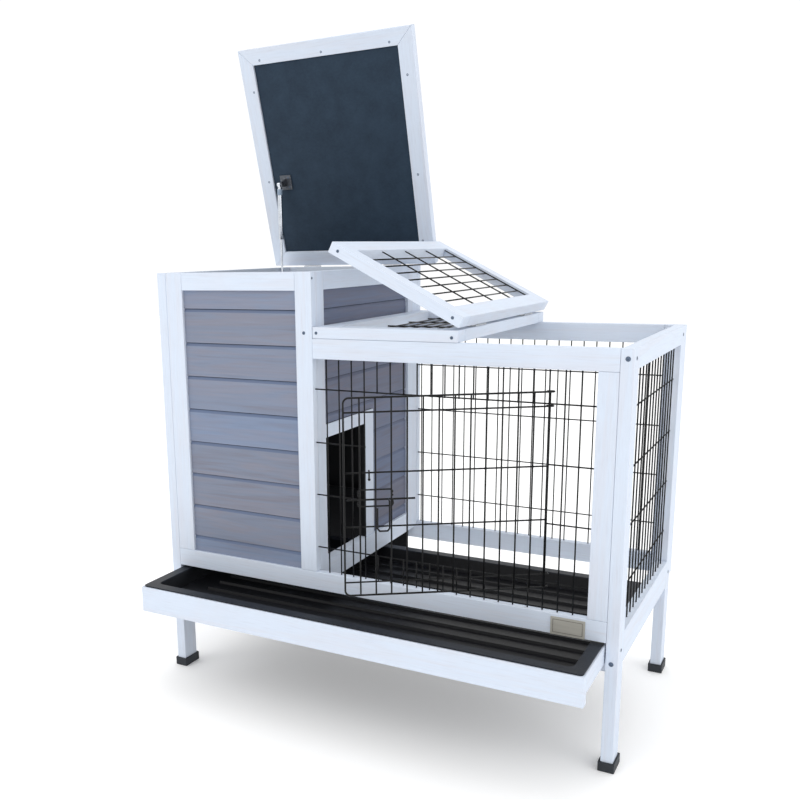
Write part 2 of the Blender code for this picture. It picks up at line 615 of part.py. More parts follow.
rings = [inset(28.0, 6.0, 192.3), inset(17.5, 10.0, 218.8), inset(0.0, 6.0, 218.8), inset(0.0, 6.0, 221.3),
         inset(20.0, 10.0, 221.3), inset(30.5, 6.0, 195.0)]
loops = []
for ring in rings:
    vv = [bm.verts.new(tray_pose(q)) for q in ring]
    loops.append([bm.edges.new((vv[i], vv[(i + 1) % len(vv)])) for i in range(len(vv))])
for a, b in zip(loops[:-1], loops[1:]):
    bmesh.ops.bridge_loops(bm, edges=a + b)
bmesh.ops.edgeloop_fill(bm, edges=loops[0])
bmesh.ops.edgeloop_fill(bm, edges=loops[-1])
liner = finish("tray_liner", bm, "tray", tray_origin)


def ridges(bm):
    for k in range(9):
        yc = 64.0 + 39.5 * k
        add_outline(bm, [(yc - 6.0, 194.0), (yc + 6.0, 194.0), (yc + 3.5, 199.5), (yc - 3.5, 199.5)],
                    "x", 108.0, 846.0, tray_pose)


rd = helper("liner_ridges", ridges)
boolean(liner, rd, "UNION")

for side, x0, x1 in (("left", POST_W + GAP, 34.0), ("right", 866.0, WIDTH - POST_W - GAP)):
    box("%s_tray_runner" % side, x0, x1, 16.0, 458.0, 168.5, 186.7)

# ---------------------------------------------------------------- blank plate
box("badge_plate", 789.5, 846.0, -1.8, -0.3, 225.5, 256.0, "plate")

for ob in PARTS.objects:
    ob.select_set(False)
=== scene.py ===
import json
import math

import bpy
import bmesh
from mathutils import Matrix, Vector

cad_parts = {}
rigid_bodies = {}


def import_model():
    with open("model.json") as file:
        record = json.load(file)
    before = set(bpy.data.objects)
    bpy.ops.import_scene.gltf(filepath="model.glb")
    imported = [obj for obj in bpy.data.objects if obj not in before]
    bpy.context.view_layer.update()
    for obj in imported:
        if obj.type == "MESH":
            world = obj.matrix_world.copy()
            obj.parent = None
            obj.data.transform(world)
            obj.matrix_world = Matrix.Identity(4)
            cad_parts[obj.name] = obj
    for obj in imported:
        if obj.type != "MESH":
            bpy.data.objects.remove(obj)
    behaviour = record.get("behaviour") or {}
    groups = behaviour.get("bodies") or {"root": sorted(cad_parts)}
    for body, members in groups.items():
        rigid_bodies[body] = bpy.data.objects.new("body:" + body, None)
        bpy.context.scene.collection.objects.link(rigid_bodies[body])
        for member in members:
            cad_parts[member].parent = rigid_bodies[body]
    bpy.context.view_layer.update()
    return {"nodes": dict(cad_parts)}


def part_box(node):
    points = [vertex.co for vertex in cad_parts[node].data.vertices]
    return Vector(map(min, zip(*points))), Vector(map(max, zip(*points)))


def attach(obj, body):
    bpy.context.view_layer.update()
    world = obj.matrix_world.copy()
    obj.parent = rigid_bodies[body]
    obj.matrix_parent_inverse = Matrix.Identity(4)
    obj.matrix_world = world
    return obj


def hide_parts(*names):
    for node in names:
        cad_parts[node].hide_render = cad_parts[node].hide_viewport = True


for ob in list(bpy.data.objects):
    bpy.data.objects.remove(ob, do_unlink=True)

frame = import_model()
NODES = frame["nodes"]


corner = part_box("front_left_post")[0]
OX, OY = corner.x, corner.y


def W(x, y, z):
    """Hutch millimetres (corner of the front left leg on the floor) to metres."""
    return Vector((x / 1000.0 + OX, y / 1000.0 + OY, z / 1000.0))


# ------------------------------------------------------------------- camera
cam_data = bpy.data.cameras.new("studio_camera")
cam = bpy.data.objects.new("studio_camera", cam_data)
bpy.context.scene.collection.objects.link(cam)
bpy.context.scene.camera = cam
yaw, pitch, roll = 0.5316, 0.2189, -0.0216
fw = Vector((-math.sin(yaw) * math.cos(pitch), math.cos(yaw) * math.cos(pitch), -math.sin(pitch)))
rt = Vector((math.cos(yaw), math.sin(yaw), 0.0))
up = rt.cross(fw)
r2 = rt * math.cos(roll) + up * math.sin(roll)
u2 = up * math.cos(roll) - rt * math.sin(roll)
m = Matrix((r2, u2, -fw)).transposed().to_4x4()
m.translation = W(1181.2072, -1430.7598, 847.9896)
cam.matrix_world = m
cam_data.sensor_width = 36.0
cam_data.lens = 41.706
cam_data.shift_x = 0.1100
cam_data.shift_y = 0.0732
cam_data.clip_end = 60.0

# ----------------------------------------------------------------- lighting
scene = bpy.context.scene
scene.view_settings.view_transform = "Standard"
world = bpy.data.worlds.new("soft_studio")
scene.world = world
world.use_nodes = True
nt = world.node_tree
nt.nodes.clear()
out = nt.nodes.new("ShaderNodeOutputWorld")
seen = nt.nodes.new("ShaderNodeBackground")
seen.inputs["Color"].default_value = (1, 1, 1, 1)
seen.inputs["Strength"].default_value = 1.05
lit = nt.nodes.new("ShaderNodeBackground")
lit.inputs["Strength"].default_value = 1.16
coord = nt.nodes.new("ShaderNodeTexCoord")
sep = nt.nodes.new("ShaderNodeSeparateXYZ")
ramp = nt.nodes.new("ShaderNodeValToRGB")
ramp.color_ramp.elements[0].position = 0.0
ramp.color_ramp.elements[0].color = (1.0, 1.0, 1.0, 1)
ramp.color_ramp.elements[1].position = 1.0
ramp.color_ramp.elements[1].color = (0.92, 0.92, 0.92, 1)
nt.links.new(coord.outputs["Generated"], sep.inputs[0])
nt.links.new(sep.outputs["Z"], ramp.inputs["Fac"])
nt.links.new(ramp.outputs["Color"], lit.inputs["Color"])
path_info = nt.nodes.new("ShaderNodeLightPath")
mix = nt.nodes.new("ShaderNodeMixShader")
nt.links.new(path_info.outputs["Is Camera Ray"], mix.inputs["Fac"])
nt.links.new(lit.outputs[0], mix.inputs[1])
nt.links.new(seen.outputs[0], mix.inputs[2])
nt.links.new(mix.outputs[0], out.inputs["Surface"])


def area(name, where, target, size, power, colour=(1, 1, 1)):
    data = bpy.data.lights.new(name, "AREA")
    data.shape = "RECTANGLE"
    data.size, data.size_y = size
    data.energy = power
    data.color = colour
    ob = bpy.data.objects.new(name, data)
    scene.collection.objects.link(ob)
    ob.location = where
    ob.rotation_euler = (Vector(target) - Vector(where)).to_track_quat("-Z", "Y").to_euler()
    return ob


area("key_softbox", (-1.9, -2.2, 3.0), (0, 0, 0.3), (1.8, 1.8), 14.0, (1.0, 0.99, 0.98))
area("right_softbox", (3.0, -0.8, 1.9), (0, 0, 0.4), (1.8, 1.8), 10.0, (0.97, 0.985, 1.0))
area("top_softbox", (0.0, 0.3, 3.6), (0, 0, 0.2), (2.6, 2.6), 12.0)

# ---------------------------------------------------------------- materials


def lin(c):
    """sRGB 0-255 triple to a linear RGBA colour."""
    v = []
    for k in c:
        k /= 255.0
        v.append(k / 12.92 if k <= 0.04045 else ((k + 0.055) / 1.055) ** 2.4)
    return tuple(v) + (1.0,)


class Shader:
    """Small builder round a Principled material with procedural detail."""

    def __init__(self, name, rough, metallic=0.0, specular=0.5):
        self.mat = bpy.data.materials.new(name)
        self.mat.use_nodes = True
        self.nt = self.mat.node_tree
        self.bsdf = self.nt.nodes["Principled BSDF"]
        self.bsdf.inputs["Roughness"].default_value = rough
        self.bsdf.inputs["Metallic"].default_value = metallic
        self.bsdf.inputs["Specular IOR Level"].default_value = specular
        self.coord = self.nt.nodes.new("ShaderNodeTexCoord").outputs["Object"]

    def link(self, a, b):
        self.nt.links.new(a, b)

    def mapping(self, src, rot=(0, 0, 0), scale=(1, 1, 1), loc=(0, 0, 0)):
        n = self.nt.nodes.new("ShaderNodeMapping")
        n.inputs["Rotation"].default_value = rot
        n.inputs["Scale"].default_value = scale
        n.inputs["Location"].default_value = loc
        self.link(src, n.inputs["Vector"])
        return n.outputs[0]

    def noise(self, src, scale, detail=4.0, rough=0.55, distort=0.0):
        n = self.nt.nodes.new("ShaderNodeTexNoise")
        n.inputs["Scale"].default_value = scale
        n.inputs["Detail"].default_value = detail
        n.inputs["Roughness"].default_value = rough
        n.inputs["Distortion"].default_value = distort
        self.link(src, n.inputs["Vector"])
        return n.outputs["Fac"]

    def ramp(self, fac, stops):
        n = self.nt.nodes.new("ShaderNodeValToRGB")
        el = n.color_ramp.elements
        el[0].position, el[0].color = stops[0][0], stops[0][1]
        el[1].position, el[1].color = stops[-1][0], stops[-1][1]
        for p, c in stops[1:-1]:
            e = el.new(p)
            e.color = c
        self.link(fac, n.inputs["Fac"])
        return n.outputs["Color"]

    def mix(self, fac, a, b, mode="MIX"):
        n = self.nt.nodes.new("ShaderNodeMix")
        n.data_type = "RGBA"
        n.blend_type = mode
        if isinstance(fac, (int, float)):
            n.inputs[0].default_value = fac
        else:
            self.link(fac, n.inputs[0])
        for v, s in ((a, n.inputs[6]), (b, n.inputs[7])):
            if isinstance(v, tuple):
                s.default_value = v
            else:
                self.link(v, s)
        return n.outputs[2]

    def math(self, op, a, b=None, c=None):
        n = self.nt.nodes.new("ShaderNodeMath")
        n.operation = op
        for v, s in zip((a, b, c), n.inputs):
            if v is None:
                continue
            if isinstance(v, (int, float)):
                s.default_value = v
            else:
                self.link(v, s)
        return n.outputs[0]

    def xyz(self, src=None):
        n = self.nt.nodes.new("ShaderNodeSeparateXYZ")
        self.link(src or self.coord, n.inputs[0])
        return n.outputs

    def combine(self, x, y, z):
        n = self.nt.nodes.new("ShaderNodeCombineXYZ")
        for v, s in zip((x, y, z), n.inputs):
            if isinstance(v, (int, float)):
                s.default_value = v
            else:
                self.link(v, s)
        return n.outputs[0]

    def colour(self, out):
        self.link(out, self.bsdf.inputs["Base Color"])

    def roughness(self, out):
        self.link(out, self.bsdf.inputs["Roughness"])

    def bump(self, height, strength, distance):
        n = self.nt.nodes.new("ShaderNodeBump")
        n.inputs["Strength"].default_value = strength
        n.inputs["Distance"].default_value = distance
        self.link(height, n.inputs["Height"])
        self.link(n.outputs[0], self.bsdf.inputs["Normal"])


AXIS_SCALE = {"x": (0.05, 1, 1), "y": (1, 0.05, 1), "z": (1, 1, 0.05)}
seed = [0]


def white_wood(name, axis, tilt=(0, 0, 0), shade=1.0, dark_below_x=None):
    """Whitewashed fir: fine faint grain along one axis, a few warmer streaks."""
    seed[0] += 1
    s = Shader(name, 0.62, specular=0.35)
    src = s.coord
    if tilt != (0, 0, 0):
        src = s.mapping(src, rot=tilt)
    k = seed[0] * 0.731
    g = s.mapping(src, scale=AXIS_SCALE[axis], loc=(k, k * 1.7, k * 0.6))
    fine = s.noise(g, 420.0, 5.0, 0.6)
    broad = s.noise(g, 60.0, 3.0, 0.5, 1.2)
    blot = s.noise(s.mapping(src, loc=(k, -k, k)), 14.0, 3.0)
    base = tuple(c * shade for c in (0.600, 0.668, 0.775)) + (1,)
    light = tuple(min(0.97, c * shade) for c in (0.632, 0.700, 0.805)) + (1,)
    dark = tuple(c * shade for c in (0.545, 0.590, 0.675)) + (1,)
    warm = tuple(c * shade for c in (0.600, 0.622, 0.690)) + (1,)
    c1 = s.ramp(fine, [(0.30, dark), (0.46, base), (0.75, light)])
    c2 = s.ramp(broad, [(0.35, warm), (0.52, base), (0.8, light)])
    c3 = s.mix(0.45, c1, c2)
    c4 = s.mix(s.ramp(blot, [(0.45, (0, 0, 0, 1)), (0.75, (0.35, 0.35, 0.35, 1))]), c3, warm)
    # painted shade: below the given x the wood is coloured near-black to stand for the shade inside the doorway
    if dark_below_x is not None:
        c4 = s.mix(s.math("LESS_THAN", s.xyz()[0], dark_below_x), c4, (0.006, 0.0065, 0.008, 1))
    s.colour(c4)
    s.bump(fine, 0.25, 0.0004)
    return s.mat


def plank_wood(name, along, depth_axis, black_above=None, black_below=None, tint=(1, 1, 1), strip=True, strip_mix=0.75):
    """Grey-blue stained shiplap: every plank has its own tone, with flame grain, a darker chamfer strip under each
    joint, a painted shadow line at the top of each joint and the inner face coloured near-black as painted shade."""
    seed[0] += 1
    s = Shader(name, 0.66, specular=0.3)
    k = seed[0] * 1.37
    x, y, z = s.xyz()
    level = s.math("DIVIDE", s.math("SUBTRACT", z, 0.2281), 0.06493)
    index = s.math("FLOOR", level)
    frac = s.math("FRACT", level)
    shift = s.math("MULTIPLY_ADD", index, 3.17, k)
    lng = x if along == "x" else y
    crs = y if along == "x" else x
    g = s.combine(s.math("MULTIPLY_ADD", lng, 0.045, shift), crs, s.math("MULTIPLY_ADD", index, 0.77, z))
    fine = s.noise(g, 260.0, 6.0, 0.62)
    flame = s.noise(s.combine(s.math("MULTIPLY_ADD", lng, 0.06, shift), crs, z), 48.0, 3.0, 0.5, 0.9)
    rnd = s.nt.nodes.new("ShaderNodeTexWhiteNoise")
    rnd.noise_dimensions = "1D"
    s.link(s.math("ADD", index, k), rnd.inputs["W"])
    t = tint

    def c(r, g_, b):
        v = lin((r, g_, b))
        return (v[0] * t[0], v[1] * t[1], v[2] * t[2], 1)

    base = s.ramp(fine, [(0.25, c(124, 129, 147)), (0.45, c(131, 139, 158)), (0.62, c(136, 144, 164)),
                         (0.85, c(147, 151, 165))])
    streak = s.ramp(flame, [(0.30, c(124, 119, 129)), (0.44, c(127, 138, 160)), (0.57, c(139, 136, 148)),
                            (0.68, c(133, 145, 167))])
    col = s.mix(0.5, base, streak)
    shade = s.ramp(rnd.outputs["Value"], [(0.0, (0.97, 0.90, 0.84, 1)), (0.5, (1.0, 1.0, 1.0, 1)),
                                          (1.0, (0.92, 1.01, 1.09, 1))])
    col = s.mix(1.0, col, shade, "MULTIPLY")
    if strip:
        edge = s.math("GREATER_THAN", frac, 1.0 - 6.6 / 64.93)
        col = s.mix(edge, col, s.mix(strip_mix, col, c(94, 107, 134)))
        # painted shadow: a 1.1 mm near-black line at the top of each plank, where the plank above shades the joint
        slot_shadow = s.math("GREATER_THAN", frac, 1.0 - 1.1 / 64.93)
        col = s.mix(slot_shadow, col, c(40, 46, 60))
    d = {"x": x, "y": y}[depth_axis]
    # painted shade: faces inside the house, past the given depth, are coloured near-black to stand for the shade inside
    # it
    if black_above is not None:
        col = s.mix(s.math("GREATER_THAN", d, black_above), col, (0.006, 0.0065, 0.008, 1))
    if black_below is not None:
        col = s.mix(s.math("LESS_THAN", d, black_below), col, (0.006, 0.0065, 0.008, 1))
    s.colour(col)
    s.bump(fine, 0.3, 0.0005)
    return s.mat


def lid_board_material():
    s = Shader("slate_lid_board", 0.6, specular=0.15)
    a = s.noise(s.coord, 26.0, 5.0, 0.6)
    b = s.noise(s.mapping(s.coord, scale=(1.0, 3.0, 1.0)), 190.0, 4.0, 0.6)
    c1 = s.ramp(a, [(0.32, lin((33, 46, 60))), (0.52, lin((39, 54, 69))), (0.75, lin((45, 61, 77)))])
    c2 = s.ramp(b, [(0.35, lin((35, 48, 63))), (0.6, lin((42, 57, 73)))])
    s.colour(s.mix(0.4, c1, c2))
    s.bump(b, 0.2, 0.0003)
    return s.mat


def simple(name, rough, metallic, tones, scale, bump=0.15, dist=0.0003, spec=0.5, stretch=(1, 1, 1)):
    s = Shader(name, rough, metallic, spec)
    src = s.mapping(s.coord, scale=stretch) if stretch != (1, 1, 1) else s.coord
    n = s.noise(src, scale, 4.0, 0.6)
    s.colour(s.ramp(n, [(0.3, tones[0]), (0.7, tones[1])]))
    if bump:
        s.bump(n, bump, dist)
    return s.mat


def pebble(name, rough, tones, scale, strength, spec=0.5):
    s = Shader(name, rough, 0.0, spec)
    v = s.nt.nodes.new("ShaderNodeTexVoronoi")
    v.inputs["Scale"].default_value = scale
    s.link(s.coord, v.inputs["Vector"])
    n = s.noise(s.coord, 30.0, 3.0)
    s.colour(s.ramp(n, [(0.3, tones[0]), (0.7, tones[1])]))
    s.bump(v.outputs["Distance"], strength, 0.0004)
    return s.mat




def tray_material():
    """Grained black plastic with speckle; the rim top is coloured paler and bluer as a painted sheen."""
    s = Shader("grained_tray_plastic", 0.42, specular=0.2)
    v = s.nt.nodes.new("ShaderNodeTexVoronoi")
    v.inputs["Scale"].default_value = 520.0
    s.link(s.coord, v.inputs["Vector"])
    n = s.noise(s.coord, 700.0, 3.0, 0.7)
    x, y, z = s.xyz()
    floor_c = s.ramp(n, [(0.35, lin((8, 8, 10))), (0.6, lin((15, 16, 20))), (0.8, lin((38, 41, 48)))])
    rim_sheen_c = s.ramp(n, [(0.35, lin((22, 25, 31))), (0.6, lin((34, 38, 46))), (0.8, lin((58, 63, 73)))])
    # painted sheen: above the rim height the plastic is coloured paler and bluer, standing in for the light the rim top
    # reflects
    col = s.mix(s.math("GREATER_THAN", z, 0.2195), floor_c, rim_sheen_c)
    s.colour(col)
    s.bump(v.outputs["Distance"], 0.35, 0.0004)
    return s.mat


DULL = simple("dull_steel", 0.45, 0.8, (lin((70, 74, 80)), lin((104, 108, 114))), 240.0, 0.08)
WOOD = {a: white_wood("white_wood_%s" % a, a) for a in "xyz"}
LID_TILT = math.radians(74.05)
WOOD_LID_X = white_wood("white_wood_lid_across", "x", shade=0.97)
WOOD_LID_Y = white_wood("white_wood_lid_along", "y", tilt=(LID_TILT, 0, 0), shade=0.97)
FLAP_TILT = math.radians(152.5)
WOOD_FLAP_X = white_wood("white_wood_flap_across", "x", tilt=(0, FLAP_TILT, 0))
WOOD_FLAP_Y = white_wood("white_wood_flap_along", "y")
WIRE = simple("black_coated_wire", 0.38, 0.0, (lin((9, 9, 10)), lin((16, 17, 18))), 300.0, 0.1, spec=0.22)
RUBBER = pebble("foot_rubber", 0.6, (lin((30, 34, 40)), lin((40, 45, 52))), 900.0, 0.25, 0.4)
CHROME = simple("strut_chrome", 0.2, 1.0, (lin((176, 181, 190)), lin((206, 211, 218))), 60.0, 0.03)
COLLAR = simple("strut_collar", 0.4, 0.0, (lin((120, 138, 158)), lin((140, 156, 174))), 160.0, 0.05)
STEEL = simple("plain_steel", 0.32, 1.0, (lin((150, 155, 162)), lin((186, 190, 196))), 240.0, 0.08)
SCREW = simple("dark_screw", 0.38, 0.9, (lin((78, 90, 108)), lin((104, 117, 136))), 400.0, 0.05)
PLATE = simple("satin_plate", 0.42, 0.2, (lin((166, 164, 156)), lin((182, 180, 172))), 260.0, 0.06,
               stretch=(0.06, 1, 1))
PLATE_EDGE = simple("plate_line", 0.45, 0.4, (lin((122, 120, 114)), lin((138, 136, 130))), 260.0, 0.05)
LID_BOARD = lid_board_material()

grain = {
    "z": ["front_left_post", "rear_left_post", "front_right_post", "rear_right_post", "house_left_stile",
          "house_right_stile", "run_right_stile", "divider_front_post", "divider_rear_post", "rear_left_stile",
          "rear_middle_stile", "rear_right_stile"],
    "x": ["house_top_rail", "front_bottom_rail", "run_top_rail", "rear_house_top_rail", "rear_bottom_rail",
          "rear_run_top_rail"],
    "y": ["left_top_rail", "left_bottom_rail", "divider_top_rail", "divider_bottom_rail", "right_top_rail",
          "right_bottom_rail", "left_tray_runner", "right_tray_runner"],
}
materials = {}
for axis, names in grain.items():
    for n in names:
        materials[n] = white_wood("white_wood_" + n, axis)
# the trim's faces inside the doorway get near-black painted shade
materials["doorway_trim"] = white_wood("white_wood_doorway_trim", "z", dark_below_x=W(341.2, 0, 0).x)
for n in ("lid_front_board", "lid_rear_board"):
    materials[n] = WOOD_LID_X
for n in ("lid_left_board", "lid_right_board"):
    materials[n] = WOOD_LID_Y
materials["lid_panel"] = LID_BOARD
# the black_above/black_below depths mark the inner faces that are painted near-black as shade
materials["house_front_planks"] = plank_wood("front_planks", "x", "y", black_above=W(0, 11.2, 0).y, tint=(0.88, 0.93, 0.97))
materials["left_wall_planks"] = plank_wood("left_planks", "y", "x", black_above=W(12.2, 0, 0).x, tint=(0.88, 0.93, 0.97))
materials["rear_wall_planks"] = plank_wood("rear_planks", "x", "y", black_below=W(0, 466.5, 0).y, tint=(0.88, 0.93, 0.97))
# painted shade: the divider planks are tinted darker and get a weaker chamfer strip, since that wall stands in shade
materials["divider_planks"] = plank_wood("divider_planks", "y", "x", black_below=W(332.6, 0, 0).x,
                                         tint=(0.66, 0.66, 0.70), strip_mix=0.3)
for n in ("strut_lid_bracket", "strut_wall_bracket", "lid_hinge_left", "lid_hinge_right", "roof_hinge_front",
          "roof_hinge_rear"):
    materials[n] = STEEL
materials["strut_lid_bracket"] = DULL
for n in NODES:
    if n.endswith("foot_cap"):
        materials[n] = RUBBER
materials["tray_liner"] = tray_material()
materials["badge_plate"] = PLATE
materials["door_bolt"] = WIRE

for n, mat in materials.items():
    me = NODES[n].data
    me.materials.clear()
    me.materials.append(mat)

wooden = set(grain["x"] + grain["y"] + grain["z"]) | {"doorway_trim", "lid_front_board", "lid_rear_board",
                                                      "lid_left_board", "lid_right_board", "lid_panel"}
soft_edge = {n: 0.0009 for n in wooden}
for n in NODES:
    if n.endswith("foot_cap"):
        soft_edge[n] = 0.0012
soft_edge["tray_liner"] = 0.0008
soft_edge["badge_plate"] = 0.0003
for n, width in soft_edge.items():
    ob = NODES[n]
    w = ob.modifiers.new("weld", "WELD")
    w.merge_threshold = 0.00001
    b = ob.modifiers.new("bevel", "BEVEL")
    b.width = width
    b.segments = 2
    b.limit_method = "ANGLE"
    b.angle_limit = math.radians(35)

# ------------------------------------------------------------------- helpers


def make(name, bm, mats, body, replaced=(), smooth=True):
    me = bpy.data.meshes.new(name)
    bmesh.ops.recalc_face_normals(bm, faces=bm.faces)
    if smooth:
        for f in bm.faces:
            f.smooth = True
    bm.to_mesh(me)
    bm.free()
    for mat in (mats if isinstance(mats, (list, tuple)) else [mats]):
        me.materials.append(mat)
    ob = bpy.data.objects.new(name, me)
    scene.collection.objects.link(ob)
    if smooth == "auto":
        me.set_sharp_from_angle(angle=math.radians(38))
    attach(ob, body)
    if replaced:
        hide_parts(*replaced)
    return ob


def tube(bm, pts, r, sides=8, closed=False):
    """Round wire along points, with mitred corners and flat ends."""
    pts = [Vector(p) for p in pts]
    n = len(pts)
    dirs = []
    for i in range(n):
        if closed:
            a, b = pts[i - 1], pts[(i + 1) % n]
            d = ((pts[i] - a).normalized() + (b - pts[i]).normalized()).normalized()
        elif i == 0:
            d = (pts[1] - pts[0]).normalized()
        elif i == n - 1:
            d = (pts[-1] - pts[-2]).normalized()
        else:
            d = ((pts[i] - pts[i - 1]).normalized() + (pts[i + 1] - pts[i]).normalized()).normalized()
        dirs.append(d)
    ref = Vector((0, 0, 1)) if abs(dirs[0].z) < 0.9 else Vector((1, 0, 0))
    u = dirs[0].cross(ref).normalized()
    rings = []
    for i in range(n):
        d = dirs[i]
        u = (u - d * u.dot(d)).normalized()
        v = d.cross(u)
        rings.append([bm.verts.new(pts[i] + (u * math.cos(2 * math.pi * k / sides) + v * math.sin(2 * math.pi * k / sides)) * r)
                      for k in range(sides)])
    last = n if closed else n - 1
    for i in range(last):
        a, b = rings[i], rings[(i + 1) % n]
        for k in range(sides):
            bm.faces.new((a[k], a[(k + 1) % sides], b[(k + 1) % sides], b[k]))
    if not closed:
        bm.faces.new(list(reversed(rings[0])))
        bm.faces.new(rings[-1])


def arc(centre, u, v, r, a0, a1, n=6):
    c, u, v = Vector(centre), Vector(u), Vector(v)
    return [c + (u * math.cos(math.radians(a0 + (a1 - a0) * i / n)) + v * math.sin(math.radians(a0 + (a1 - a0) * i / n))) * r
            for i in range(n + 1)]


def lathe(bm, p0, axis, profile, sides=28):
    axis = Vector(axis).normalized()
    u = axis.cross(Vector((1, 0, 0)) if abs(axis.x) < 0.9 else Vector((0, 1, 0))).normalized()
    v = axis.cross(u)
    rings = []
    for t, r in profile:
        c = Vector(p0) + axis * t
        if r < 1e-7:
            rings.append([bm.verts.new(c)])
        else:
            rings.append([bm.verts.new(c + (u * math.cos(2 * math.pi * k / sides) + v * math.sin(2 * math.pi * k / sides)) * r)
                          for k in range(sides)])
    for a, b in zip(rings[:-1], rings[1:]):
        for k in range(sides):
            q = (k + 1) % sides
            if len(a) == 1 and len(b) > 1:
                bm.faces.new((a[0], b[q], b[k]))
            elif len(b) == 1 and len(a) > 1:
                bm.faces.new((a[k], a[q], b[0]))
            elif len(a) > 1:
                bm.faces.new((a[k], a[q], b[q], b[k]))


def board(bm, lo, hi, pose, mat_index=0, bevel=0.9):
    """One board with eased edges, given in hutch millimetres before posing."""
    b2 = bmesh.new()
    bmesh.ops.create_cube(b2, size=1.0)
    for v in b2.verts:
        v.co = Vector([lo[i] + (v.co[i] + 0.5) * (hi[i] - lo[i]) for i in range(3)])
    if bevel:
        bmesh.ops.bevel(b2, geom=b2.edges[:], offset=bevel, segments=2, profile=0.5, affect="EDGES")
    table = {}
    for v in b2.verts:
        table[v] = bm.verts.new(pose(v.co))
    for f in b2.faces:
        nf = bm.faces.new([table[v] for v in f.verts])
        nf.material_index = mat_index
    b2.free()


def stay(q):
    return W(q[0], q[1], q[2])


def lid_pose(q):
    y, z = q[1] - 481.0, q[2] - 815.2
    c, s = math.cos(LID_TILT), math.sin(LID_TILT)
    return W(q[0], 481.0 + y * c + z * s, 815.2 - y * s + z * c)


def flap_pose(q):
    x, z = q[0] - 620.7, q[2] - 720.4
    c, s = math.cos(FLAP_TILT), math.sin(FLAP_TILT)
    return W(620.7 + x * c - z * s, q[1], 720.4 + x * s + z * c)


DOOR_A = math.radians(34.15)


def door_pose(q):
    s, n, z = q
    c, k = math.cos(DOOR_A), math.sin(DOOR_A)
    return W(774.9 - s * c - n * k, 4.0 - s * k + n * c, z)


def tray_pose(q):
    return W(q[0], q[1] - 126.0, q[2])


R = 0.0013
mm = 0.001

# ------------------------------------------------------------- front mesh
bm = bmesh.new()
zs = (308.0, 409.5, 507.9, 606.4)
xs = [369.4 + 25.2 * i for i in range(19)]
for i, x in enumerate(xs):
    if 3 < i < 16:
        tube(bm, [stay((x, 6.9, 261.0)), stay((x, 6.9, 309.2))], R)
        tube(bm, [stay((x, 6.9, 605.2)), stay((x, 6.9, 661.6))], R)
    else:
        tube(bm, [stay((x, 6.9, 261.0)), stay((x, 6.9, 661.6))], R)
for z in (zs[0], zs[3]):
    tube(bm, [stay((345.4, 8.8, z)), stay((847.6, 8.8, z))], R)
for z in zs[1:3]:
    tube(bm, [stay((345.4, 8.8, z)), stay((xs[3] + 0.9, 8.8, z))], R)
    tube(bm, [stay((xs[16] - 0.9, 8.8, z)), stay((847.6, 8.8, z))], R)
make("front_mesh", bm, WIRE, "hutch", ["front_wire_panel"])

# -------------------------------------------------------------- rear mesh
side_z = (300.0, 400.0, 499.5, 599.0)
bm = bmesh.new()
for i in range(20):
    x = 352.6 + 25.4 * i
    tube(bm, [stay((x, 468.9, 237.6)), stay((x, 468.9, 661.4))], R)
for z in side_z:
    tube(bm, [stay((345.6, 467.1, z)), stay((861.4, 467.1, z))], R)
make("rear_mesh", bm, WIRE, "hutch", ["rear_wire_panel"])

# near-black board inside the back of the house, down to the drawer, put there as painted shade for the dark inside of
# the house
bm = bmesh.new()
board(bm, (38.6, 452.0, 172.0), (324.4, 459.6, 300.0), stay, 0, 0.5)
INNER_SHADE_BOARD = simple("dark_stained_board", 0.7, 0.0, ((0.006, 0.0065, 0.008, 1), (0.009, 0.0095, 0.011, 1)), 180.0, 0.2, spec=0.1,
                   stretch=(0.06, 1, 1))
make("house_rear_lining", bm, INNER_SHADE_BOARD, "hutch", smooth=False)

# ------------------------------------------------------------- right mesh
bm = bmesh.new()
for i in range(15):
    y = 46.0 + 25.4 * i
    tube(bm, [stay((890.9, y, 237.6)), stay((890.9, y, 663.4))], R)
ylo = (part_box("right_wire_panel")[0].y - OY) * 1000.0
yhi = (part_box("right_wire_panel")[1].y - OY) * 1000.0
for z in side_z:
    tube(bm, [stay((889.1, ylo, z)), stay((889.1, yhi, z))], R)
make("right_mesh", bm, WIRE, "hutch", ["right_wire_panel"])

# ------------------------------------------------------------ roof meshes


def roof_mesh(name, xa, xb, pose, body, node):
    b = 34.3
    ua, ub, va, vb = xa + b, xb - b, b, 478.0 - b
    step = (ub - ua) / 8.0
    bm = bmesh.new()
    for i in range(7):
        x = ua + step * (i + 1)
        tube(bm, [pose((x, va, 704.3)), pose((x, vb, 704.3))], R)
    for k in range(5):
        y = 40.0 + 99.5 * k
        tube(bm, [pose((ua, y, 702.9)), pose((ub, y, 702.9))], R)
    make(name, bm, WIRE, body, [node])


AX0, AX1 = 346.0, 620.4
BX0, BX1 = 621.0, 893.0
roof_mesh("roof_fixed_mesh", AX0, AX1, stay, "hutch", "roof_fixed_wires")
roof_mesh("roof_flap_mesh", BX0, BX1, flap_pose, "roof_flap", "roof_flap_wires")


def roof_boards(name, xa, xb, pose, body, node, mats):
    bm = bmesh.new()
    z0, z1, b = 698.4, 718.4, 34.0
    board(bm, (xa, 0.0, z0), (xb, b, z1), pose, 0)
    board(bm, (xa, 478.0 - b, z0), (xb, 478.0, z1), pose, 0)
    board(bm, (xa, b + 0.25, z0), (xa + b, 477.75 - b, z1), pose, 1)
    board(bm, (xb - b, b + 0.25, z0), (xb, 477.75 - b, z1), pose, 1)
    make(name, bm, mats, body, [node], smooth=False)


